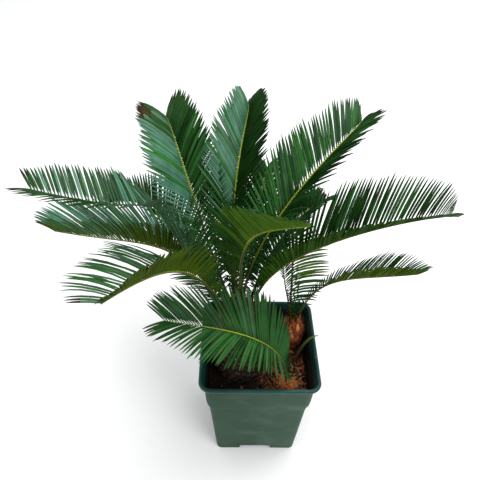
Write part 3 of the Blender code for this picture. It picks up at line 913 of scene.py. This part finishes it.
def laid_out(line, count, bundle, chance, folds, widths, leans, lengths):
    """The share, length, lean, fold and width of each leaflet of a wing, with the stem's spikes last."""
    number = np.arange(count)
    share = BARE_STEM + (1 - BARE_STEM) * (number + 0.5 + chance.normal(0, 0.10, count)) / count
    length = 0.001 * np.interp(share, lengths[::2], lengths[1::2]) * (1 + chance.normal(0, 0.025, count))
    bunch = np.repeat(number, chance.integers(1, 4, count))[:count]
    pull = chance.uniform(0.0, 1.0, count)[bunch] * bundle
    middle = np.array([np.mean(np.flatnonzero(bunch == b)) for b in bunch])
    pitch = (1 - BARE_STEM) * line.run[-1] / count
    closing = pull * (number - middle) * pitch / np.maximum(length, 0.02)
    lean = np.radians(np.interp(share, leans[::2], leans[1::2]) + chance.normal(0, 0.6, count)) + closing
    fold = np.radians(np.interp(share, folds[::2], folds[1::2]) + chance.normal(0, 2.0, count))
    width = 0.001 * np.interp(share, widths[::2], widths[1::2])
    return (
        np.concatenate((share, chance.uniform(0.045, BARE_STEM, SPIKES))),
        np.concatenate((length, chance.uniform(*SPIKE_LENGTHS, SPIKES))),
        np.concatenate((lean, chance.uniform(*SPIKE_LEANS, SPIKES))),
        np.concatenate((fold, np.radians(45 + chance.normal(0, 14, SPIKES)))),
        np.concatenate((width, np.full(SPIKES, SPIKE_WIDTH))),
    )


def blades(line, stem, sign, twist, arch, chance, share, length, lean, fold, width):
    """The corners of every leaflet of a wing, and whether they come out mirrored.

    Each leaves the rib at its lean and fold, is twisted about its own length and then sags in an arch.
    """
    ahead, across, up = line.frame(share)
    lateral = np.cos(fold)[:, None] * sign * across + np.sin(fold)[:, None] * up
    face = np.cos(fold)[:, None] * up - np.sin(fold)[:, None] * sign * across
    out = np.cos(lean)[:, None] * ahead + np.sin(lean)[:, None] * lateral
    edge = np.sin(lean)[:, None] * ahead - np.cos(lean)[:, None] * lateral
    tilt = np.radians(twist + chance.normal(0, 5, len(share)))[:, None]
    edge, face = np.cos(tilt) * edge + np.sin(tilt) * face, np.cos(tilt) * face - np.sin(tilt) * edge
    half = stem / 2 * (1 - RIB_TAPER * share)[:, None]
    roots = line.at(share) + sign * 0.80 * half * across + 0.35 * half * up
    bend = arch * chance.uniform(0.6, 1.4, len(share))[:, None]
    gravity = np.array((0, 0, -1.0))
    sag = (bend * (gravity - (out @ gravity)[:, None] * out))[:, None, :]
    t = leaf_places[None, :, 0, None]
    path = roots[:, None, :] + length[:, None, None] * (t * out[:, None, :] + (t ** 2 - t) * sag)
    tangent = unit(out[:, None, :] + (2 * t - 1) * sag)
    over = unit(face[:, None, :] - np.sum(face[:, None, :] * tangent, axis=2, keepdims=True) * tangent)
    span = np.cross(over, tangent)
    span *= np.sign(np.sum(span * edge[:, None, :], axis=2, keepdims=True))
    corners = path + width[:, None, None] * leaf_places[None, :, 1, None] * span
    corners = corners + (LEAFLET_THICKNESS * width)[:, None, None] * leaf_places[None, :, 2, None] * over
    return corners, np.cross(out[0], edge[0]) @ face[0] < 0


def colours_of(share, tops, under, shade, scorch, pale_feet, slots, chance):
    """Which finish each face of each leaflet takes, as numbers in slots, which grows as finishes are met."""
    def slot_of(key):
        return slots.setdefault(key, len(slots))

    count = len(share)
    skin = np.array([slot_of(key) for key in tops])[chance.integers(0, len(tops), count)]
    # Leaflets near the foot of the rib, up to about the share shade, take leaf_dark above and under_dark
    # beneath, a painted shade where the crown shades them.
    shaded = share < chance.normal(shade, 0.05, count)
    late = share > BARE_STEM + (1 - BARE_STEM) * scorch
    skin[shaded | late & (chance.random(count) < 0.7)] = slot_of("leaf_dark")
    index = np.empty((count, len(leaf_faces)), int)
    index[:] = skin[:, None]
    index[:, leaflet_under] = np.where(shaded, slot_of("under_dark"), slot_of(under))[:, None]
    if pale_feet:
        index[:, leaflet_middle < 0.02] = slot_of("leaf_foot")
    burnt = late & (chance.random(count) < 0.9) | (chance.random(count) < 0.008)
    for row in np.flatnonzero(burnt):
        index[row, leaflet_middle > chance.uniform(0.56, 0.96)] = slot_of("leaf_scorch")
    return index


def grow(name, foot, azimuth, leave, tip, arrive, roll, count, left, right, seed,
         rib_skin=(rib_olive, rib_olive), arch=0.22, bundle=0.2, shade=0.34, scorch=0.9, stem=0.0048):
    """One frond: its rib, then the leaflets of its left and right wings as one joined piece.

    The rib leaves its foot with (rise, pull) and arrives at its tip with (azimuth, rise, pull). Roll is
    how far it is turned at the foot and how much more at the tip, and stem its width at the foot. Count
    is the leaflets of a wing. They sag by arch and close up in bunches by bundle. They are painted dark,
    a painted shade, up to the share shade of the rib, and scorched past the share scorch of the wing. A
    wing is (upper finishes, under finish, twist, folds, widths, leans, lengths). The last four give a
    share of the rib and the value there in turn, in degrees up from flat, millimetres, degrees off the
    rib and millimetres.
    """
    chance = np.random.default_rng(seed)
    line = Rib(foot, azimuth, leave, tip, arrive, roll)
    rib = rib_of(name, line, stem, rib_skin)
    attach(rib, "root")
    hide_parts(f"{name}_lower", f"{name}_upper")

    slots = {}
    wings = []
    for sign, (tops, under, twist, *stops) in ((1, left), (-1, right)):
        plan = laid_out(line, count, bundle, chance, *stops)
        corners, mirrored = blades(line, stem, sign, twist, arch, chance, *plan)
        index = colours_of(plan[0], tops, under, shade, scorch, rib_skin[0] is rib_olive, slots, chance)
        wings.append((corners, [f[::-1] for f in leaf_faces] if mirrored else leaf_faces, index))
    finishes = [greens[key] for key in slots]
    parts = [
        joined(f"{name}_wing_{side}", corners, faces, finishes, index)
        for side, (corners, faces, index) in enumerate(wings)
    ]
    bpy.ops.object.select_all(action="DESELECT")
    for part in parts:
        part.select_set(True)
    bpy.context.view_layer.objects.active = parts[0]
    bpy.ops.object.join()
    leaves = parts[0]
    leaves.name = f"{name}_leaflets"
    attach(leaves, "root")
    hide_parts(f"{name}_lower", f"{name}_upper")


# Three old fronds arch to the left and to the front left, turned so that their undersides show on the near
# side. Each has sixty to a hundred and ten leaflets a side, folded up along its stiff rib like a trough.
INNER, OUTER = (0.012, 0.2545), (0.024, 0.2474)


def crown_foot(ring, azimuth):
    """Where a frond stands on the main caudex, on its inner or its outer ring."""
    out, height = ring
    a = math.radians(azimuth)
    return (-0.030 + out * math.cos(a), 0.025 + out * math.sin(a), height)


grow(
    "frond_left_high", crown_foot(INNER, 201), 201, leave=(62, 0.368), tip=(-0.242, -0.105, 0.556),
    arrive=(174, 12, 0.207), roll=(2, 4), count=112, rib_skin=(rib_dark, rib_dark), shade=0.1, scorch=0.97,
    stem=0.0034, seed=1,
    left=(
        ("leaf_dark", "leaf_deep", "leaf_dull"), "leaf_dull", 0, (0, 50, 0.62, 52, 0.76, 20, 1, 12),
        (0, 1.6, 0.62, 1.8, 0.76, 3, 1, 3), (0.14, 84, 0.5, 80, 0.62, 66, 0.76, 50, 1, 32),
        (0.14, 12, 0.3, 26, 0.5, 26, 0.6, 18, 0.68, 18, 0.78, 34, 0.93, 40, 1, 24),
    ),
    right=(
        ("teal_sheen_leaf", "leaf_dull", "grey_sheen_leaf", "leaf_dull", "leaf_dark"), "under_dark", -8, (0, 35),
        (0, 2.2, 0.55, 2.4, 0.7, 3.2, 1, 2.8),
        (0.14, 40, 0.45, 24, 0.62, 32, 0.74, 76, 0.84, 66, 0.94, 58, 1, 44),
        (0.14, 20, 0.3, 64, 0.6, 66, 0.74, 42, 0.86, 42, 0.95, 34, 1, 25),
    ),
)
grow(
    "frond_left_low", crown_foot(OUTER, 175), 175, leave=(63, 0.165), tip=(-0.26, -0.031, 0.443),
    arrive=(177, 10, 0.13), roll=(-1, 12), count=78, bundle=0.65, scorch=0.97, seed=2,
    left=(
        ("leaf_dark", "leaf_mid"), "under_olive", 0, (0, 58, 0.5, 68, 1, 66),
        (0, 3.8, 0.6, 3.6, 0.76, 1.7, 1, 1.5), (0.14, 80, 0.5, 50, 0.66, 44, 0.8, 42, 1, 26),
        (0.14, 18, 0.4, 50, 0.66, 50, 0.8, 47, 0.92, 38, 1, 24),
    ),
    right=(
        ("teal_sheen_leaf", "teal_sheen_leaf", "grey_sheen_leaf", "leaf_mid"), "under_dark", -15, (0, 47), (0, 3.7, 1, 2.8),
        (0.14, 60, 0.4, 38, 0.6, 37, 0.8, 30, 0.92, 20, 1, 14),
        (0.14, 30, 0.35, 84, 0.8, 82, 0.92, 56, 1, 26),
    ),
)
grow(
    "frond_front_left", crown_foot(OUTER, 231), 231, leave=(68, 0.167), tip=(-0.163, -0.199, 0.494),
    arrive=(248, 22, 0.151), roll=(27, 1), count=60, arch=0.32, bundle=0.06, shade=0.46, scorch=0.98,
    seed=3,
    left=(
        ("leaf_mid", "leaf_dark"), "under_olive", 10, (0, 28), (0, 3, 0.38, 3.6, 0.48, 6, 1, 5),
        (0.14, 80, 0.5, 62, 0.8, 46, 1, 26), (0.14, 10, 0.33, 22, 0.46, 50, 0.6, 64, 0.8, 56, 1, 28),
    ),
    right=(
        ("leaf_mid", "leaf_mid", "grey_sheen_leaf", "leaf_dull"), "under_dark", -32, (0, -4, 0.44, -8, 0.5, 28),
        (0, 5.2, 0.44, 5, 0.52, 2.6, 1, 2.6),
        (0.14, 70, 0.3, 60, 0.46, 60, 0.6, 78, 0.7, 90, 0.8, 80, 0.93, 70, 1, 48),
        (0.14, 14, 0.28, 30, 0.46, 32, 0.5, 84, 0.6, 93, 0.75, 84, 0.82, 70, 0.93, 54, 1, 30),
    ),
)


# Four fronds stand up behind and to the right, open to the light, three with bright yellow-green ribs and
# the right one with an olive rib. Their last leaflets sweep past the end of the rib, and those of the back
# left one are scorched brown.
grow(
    "frond_back_left", crown_foot(OUTER, 132), 132, leave=(57, 0.128), tip=(-0.156, 0.278, 0.44),
    arrive=(103, -26, 0.087), roll=(-9, -3), count=84, rib_skin=(rib_bright, rib_olive), bundle=0.12,
    scorch=0.72, seed=4,
    left=(
        ("teal_sheen_leaf", "teal_sheen_leaf", "teal_sheen_leaf", "leaf_bright", "grey_sheen_leaf"), "under_dark", 22, (0, 37),
        (0, 2.4, 0.38, 2.8, 0.56, 5.6, 1, 5.6), (0.14, 80, 0.35, 60, 0.5, 54, 0.76, 52, 0.9, 42, 1, 26),
        (0.14, 30, 0.3, 70, 0.42, 92, 0.56, 84, 0.76, 74, 0.92, 62, 1, 50),
    ),
    right=(
        ("leaf_dark", "leaf_deep", "leaf_dark", "leaf_mid"), "under_dark", 18, (0, 37),
        (0, 2.2, 0.4, 2.4, 0.58, 5.4, 1, 5.6), (0.14, 80, 0.35, 62, 0.6, 51, 0.75, 50, 0.9, 40, 1, 22),
        (0.14, 30, 0.3, 66, 0.6, 80, 0.75, 72, 0.92, 60, 1, 50),
    ),
)
grow(
    "frond_back", crown_foot(INNER, 110), 110, leave=(60, 0.167), tip=(-0.019, 0.309, 0.449),
    arrive=(98, -28, 0.074), roll=(-4, 6), count=86, rib_skin=(rib_bright, rib_olive), bundle=0.12,
    scorch=0.93, seed=5,
    left=(
        ("grey_sheen_leaf", "teal_sheen_leaf", "leaf_mid", "grey_sheen_leaf"), "under_dark", 22, (0, 46),
        (0, 2.4, 0.38, 2.8, 0.56, 5, 1, 5.2), (0.14, 75, 0.36, 48, 0.6, 50, 0.83, 39, 1, 20),
        (0.14, 30, 0.36, 96, 0.6, 77, 0.83, 58, 1, 40),
    ),
    right=(
        ("leaf_deep",), "under_dark", 20, (0, 46), (0, 2.3, 0.38, 2.7, 0.52, 4.8, 1, 5.6),
        (0.14, 75, 0.4, 50, 0.6, 53, 0.83, 38, 1, 16), (0.14, 30, 0.36, 84, 0.6, 76, 0.83, 58, 1, 40),
    ),
)
grow(
    "frond_back_right", crown_foot(INNER, 68), 68, leave=(80, 0.145), tip=(0.158, 0.226, 0.463),
    arrive=(74, -19, 0.089), roll=(7, 1), count=66, rib_skin=(rib_bright, rib_olive), scorch=0.98, seed=6,
    left=(
        ("leaf_mid", "leaf_dark", "leaf_dull"), "under_dark", 12, (0, 45), (0, 3.4, 0.45, 4.6, 1, 4.2),
        (0.14, 75, 0.42, 46, 0.62, 60, 0.8, 53, 0.91, 35, 1, 18),
        (0.14, 30, 0.42, 95, 0.62, 75, 0.8, 64, 0.91, 52, 1, 34),
    ),
    right=(
        ("leaf_deep", "leaf_dark"), "under_dark", 25, (0, 45), (0, 2.4, 0.36, 2.6, 0.5, 4.2, 1, 4.6),
        (0.14, 75, 0.45, 60, 0.6, 56, 0.82, 50, 0.92, 42, 1, 26),
        (0.14, 30, 0.42, 88, 0.5, 82, 0.67, 68, 0.8, 60, 0.96, 46, 1, 38),
    ),
)
grow(
    "frond_right", crown_foot(OUTER, 18), 18, leave=(88, 0.125), tip=(0.263, 0.058, 0.405),
    arrive=(52, -32, 0.119), roll=(3, 14), count=66, bundle=0.03, scorch=0.98, seed=7,
    left=(
        ("leaf_dark", "leaf_deep", "leaf_deep"), "under_dark", 0, (0, 53),
        (0, 4.2, 0.84, 3.7, 0.94, 2.1, 1, 1.6),
        (0.14, 75, 0.44, 44, 0.6, 54, 0.75, 54, 0.85, 50, 0.95, 34, 1, 20),
        (0.14, 25, 0.44, 96, 0.6, 82, 0.75, 68, 0.85, 56, 0.95, 40, 1, 26),
    ),
    right=(
        ("leaf_dark", "leaf_mid"), "under_dark", 0, (0, 74, 0.6, 78, 1, 62), (0, 7, 1, 5.8),
        (0.14, 70, 0.35, 55, 0.5, 55, 0.8, 44, 0.9, 22, 1, 1),
        (0.14, 18, 0.3, 42, 0.4, 38, 0.6, 26, 0.8, 18, 0.9, 28, 1, 56),
    ),
)


# The youngest frond of the main crown leans over the front, rolled on its side, and shows its olive
# underside, painted pale, partly its own colour and partly painted light. Its leaflets lie so close that the
# wing reads as one sheet with fine dark lines.
grow(
    "frond_front_short", crown_foot(INNER, 264), 264, leave=(80, 0.186), tip=(0.023, -0.181, 0.574),
    arrive=(292, 39, 0.165), roll=(-12, 66), count=84, bundle=0.08, shade=0.47, scorch=0.99, stem=0.0038,
    seed=8,
    left=(
        ("leaf_mid",), "leaf_mid", 0, (0, 70, 0.5, 86, 1, 86), (0, 2.6, 0.5, 5.4, 1, 5.4),
        (0.14, 80, 0.5, 66, 0.8, 60, 1, 40), (0.14, 12, 0.42, 34, 0.5, 46, 0.7, 34, 0.9, 20, 1, 12),
    ),
    right=(
        ("leaf_mid",), "under_light", 14, (0, 46, 0.4, 50, 0.52, 76, 0.62, 82, 1, 86),
        (0, 2, 0.42, 2.4, 0.52, 5.4, 1, 5.6), (0.14, 85, 0.5, 70, 0.62, 62, 0.8, 52, 1, 36),
        (0.14, 16, 0.28, 42, 0.5, 56, 0.62, 50, 0.72, 43, 0.88, 31, 1, 18),
    ),
)


# Four shorter fronds fill the crown behind and low down, where the taller ones hide all but pieces of them.
# They take the darker greens, a painted shade for where the taller fronds shade them, and have the same
# build.
for number, (name, azimuth, leave, tip, arrive, fold) in enumerate((
    ("frond_back_inner", 86, (72, 0.090), (0.015, 0.249, 0.360), (86, -20, 0.090), 44),
    ("frond_right_inner", 46, (72, 0.080), (0.103, 0.168, 0.345), (48, -20, 0.080), 44),
    ("frond_back_low", 109, (60, 0.080), (-0.075, 0.300, 0.300), (104, -35, 0.100), 42),
    ("frond_left_back", 152, (62, 0.100), (-0.240, 0.170, 0.340), (156, -30, 0.110), 42),
)):
    stops = (
        (0, fold), (0, 3.8), (0.14, 75, 0.45, 60, 0.8, 46, 1, 24),
        (0.14, 25, 0.4, 69, 0.7, 60, 0.9, 44, 1, 28),
    )
    grow(
        name, crown_foot(OUTER, azimuth), azimuth, leave, tip, arrive, roll=(0, 0), count=60,
        rib_skin=(rib_olive, rib_dark), seed=20 + number,
        left=(("leaf_dark", "leaf_deep"), "under_dark", 12, *stops),
        right=(("leaf_dark", "leaf_mid"), "under_dark", 12, *stops),
    )


# The side shoot at the back right bears one long arching frond and two small upright ones, all with fine
# leaflets. Their stems are brown at the foot, and the lowest leaflets are short.
def offset_foot(out, azimuth):
    a = math.radians(azimuth)
    return (0.0565 + out * math.cos(a), 0.0450 + out * math.sin(a), 0.2048)


grow(
    "offset_frond_right", offset_foot(0.008, 4), 4, leave=(80, 0.108), tip=(0.244, 0.061, 0.29),
    arrive=(-4, 13, 0.1), roll=(-7, -14), count=54, bundle=0.1, scorch=0.98, stem=0.0038, seed=31,
    left=(
        ("leaf_dark", "leaf_deep"), "under_dark", 0, (0, 51), (0, 2.3),
        (0.14, 60, 0.5, 36, 0.6, 42, 0.8, 42, 0.9, 28, 1, 18),
        (0.14, 6, 0.34, 16, 0.5, 44, 0.65, 60, 0.85, 50, 1, 28),
    ),
    right=(
        ("leaf_mid",), "under_olive", 0, (0, 51, 0.4, 58, 1, 54), (0, 2.2, 0.4, 4.4, 1, 4.4),
        (0.14, 80, 0.5, 66, 0.7, 58, 0.85, 50, 1, 30),
        (0.14, 5, 0.34, 12, 0.45, 30, 0.6, 38, 0.8, 34, 1, 20),
    ),
)
grow(
    "offset_frond_upright", offset_foot(0.007, 135), 130, leave=(88, 0.06), tip=(0.046, 0.056, 0.372),
    arrive=(125, 88, 0.06), roll=(0, 0), count=26, arch=0.34, scorch=0.98, stem=0.0044, seed=32,
    left=(
        ("leaf_dark",), "under_olive", 0, (0, 45), (0, 2.4), (0.14, 75, 0.6, 55, 1, 30),
        (0.14, 12, 0.4, 36, 0.8, 36, 1, 22),
    ),
    right=(
        ("under_light", "leaf_dark"), "under_light", -10, (0, 45), (0, 3, 0.4, 4.2, 1, 3.8),
        (0.14, 90, 0.5, 80, 0.75, 68, 0.9, 58, 1, 42), (0.14, 34, 0.4, 56, 0.8, 56, 1, 32),
    ),
)
grow(
    "offset_frond_left", offset_foot(0.008, 230), 230, leave=(86, 0.05), tip=(0.034, 0.055, 0.332),
    arrive=(80, 75, 0.05), roll=(0, 0), count=26, scorch=0.98, stem=0.004, seed=33,
    left=(
        ("leaf_dark",), "under_dark", 0, (0, 45), (0, 2.4), (0.14, 75, 1, 30),
        (0.14, 10, 0.4, 30, 0.8, 30, 1, 18),
    ),
    right=(
        ("leaf_dark",), "under_dark", 0, (0, 45), (0, 2.4), (0.14, 75, 1, 30),
        (0.14, 10, 0.4, 30, 0.8, 30, 1, 18),
    ),
)


# The small shoot at the front bears a single frond that lies low and open across the front of the pot.
# Its near leaflets hang down over the main caudex and its far ones stand up behind the rib.
grow(
    "front_offset_frond", (0.042, -0.0479, 0.1655), 177, leave=(88, 0.106), tip=(-0.135, -0.049, 0.303),
    arrive=(175, 6, 0.096), roll=(-4, -28), count=56, rib_skin=(rib_bright, rib_olive), bundle=0.75,
    stem=0.0031, seed=41,
    left=(
        ("leaf_mid", "leaf_dark"), "under_dark", 5, (0, 16),
        (0, 5.6, 0.3, 5.6, 0.5, 4.8, 0.66, 4.4, 0.76, 3.4, 1, 3),
        (0.14, 90, 0.35, 78, 0.5, 69, 0.6, 58, 0.72, 53, 0.8, 39, 1, 28),
        (0.14, 30, 0.25, 50, 0.42, 58, 0.5, 68, 0.62, 70, 0.72, 62, 0.8, 58, 0.92, 48, 1, 30),
    ),
    right=(
        ("leaf_dull", "leaf_dark", "leaf_dark"), "under_dark", -12, (0, 16),
        (0, 5.8, 0.55, 5.6, 0.68, 3.3, 1, 3), (0.14, 85, 0.33, 72, 0.5, 62, 0.7, 38, 0.82, 33, 1, 33),
        (0.14, 34, 0.24, 50, 0.33, 66, 0.42, 75, 0.55, 72, 0.7, 80, 0.8, 70, 0.9, 56, 1, 34),
    ),
)


low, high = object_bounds()
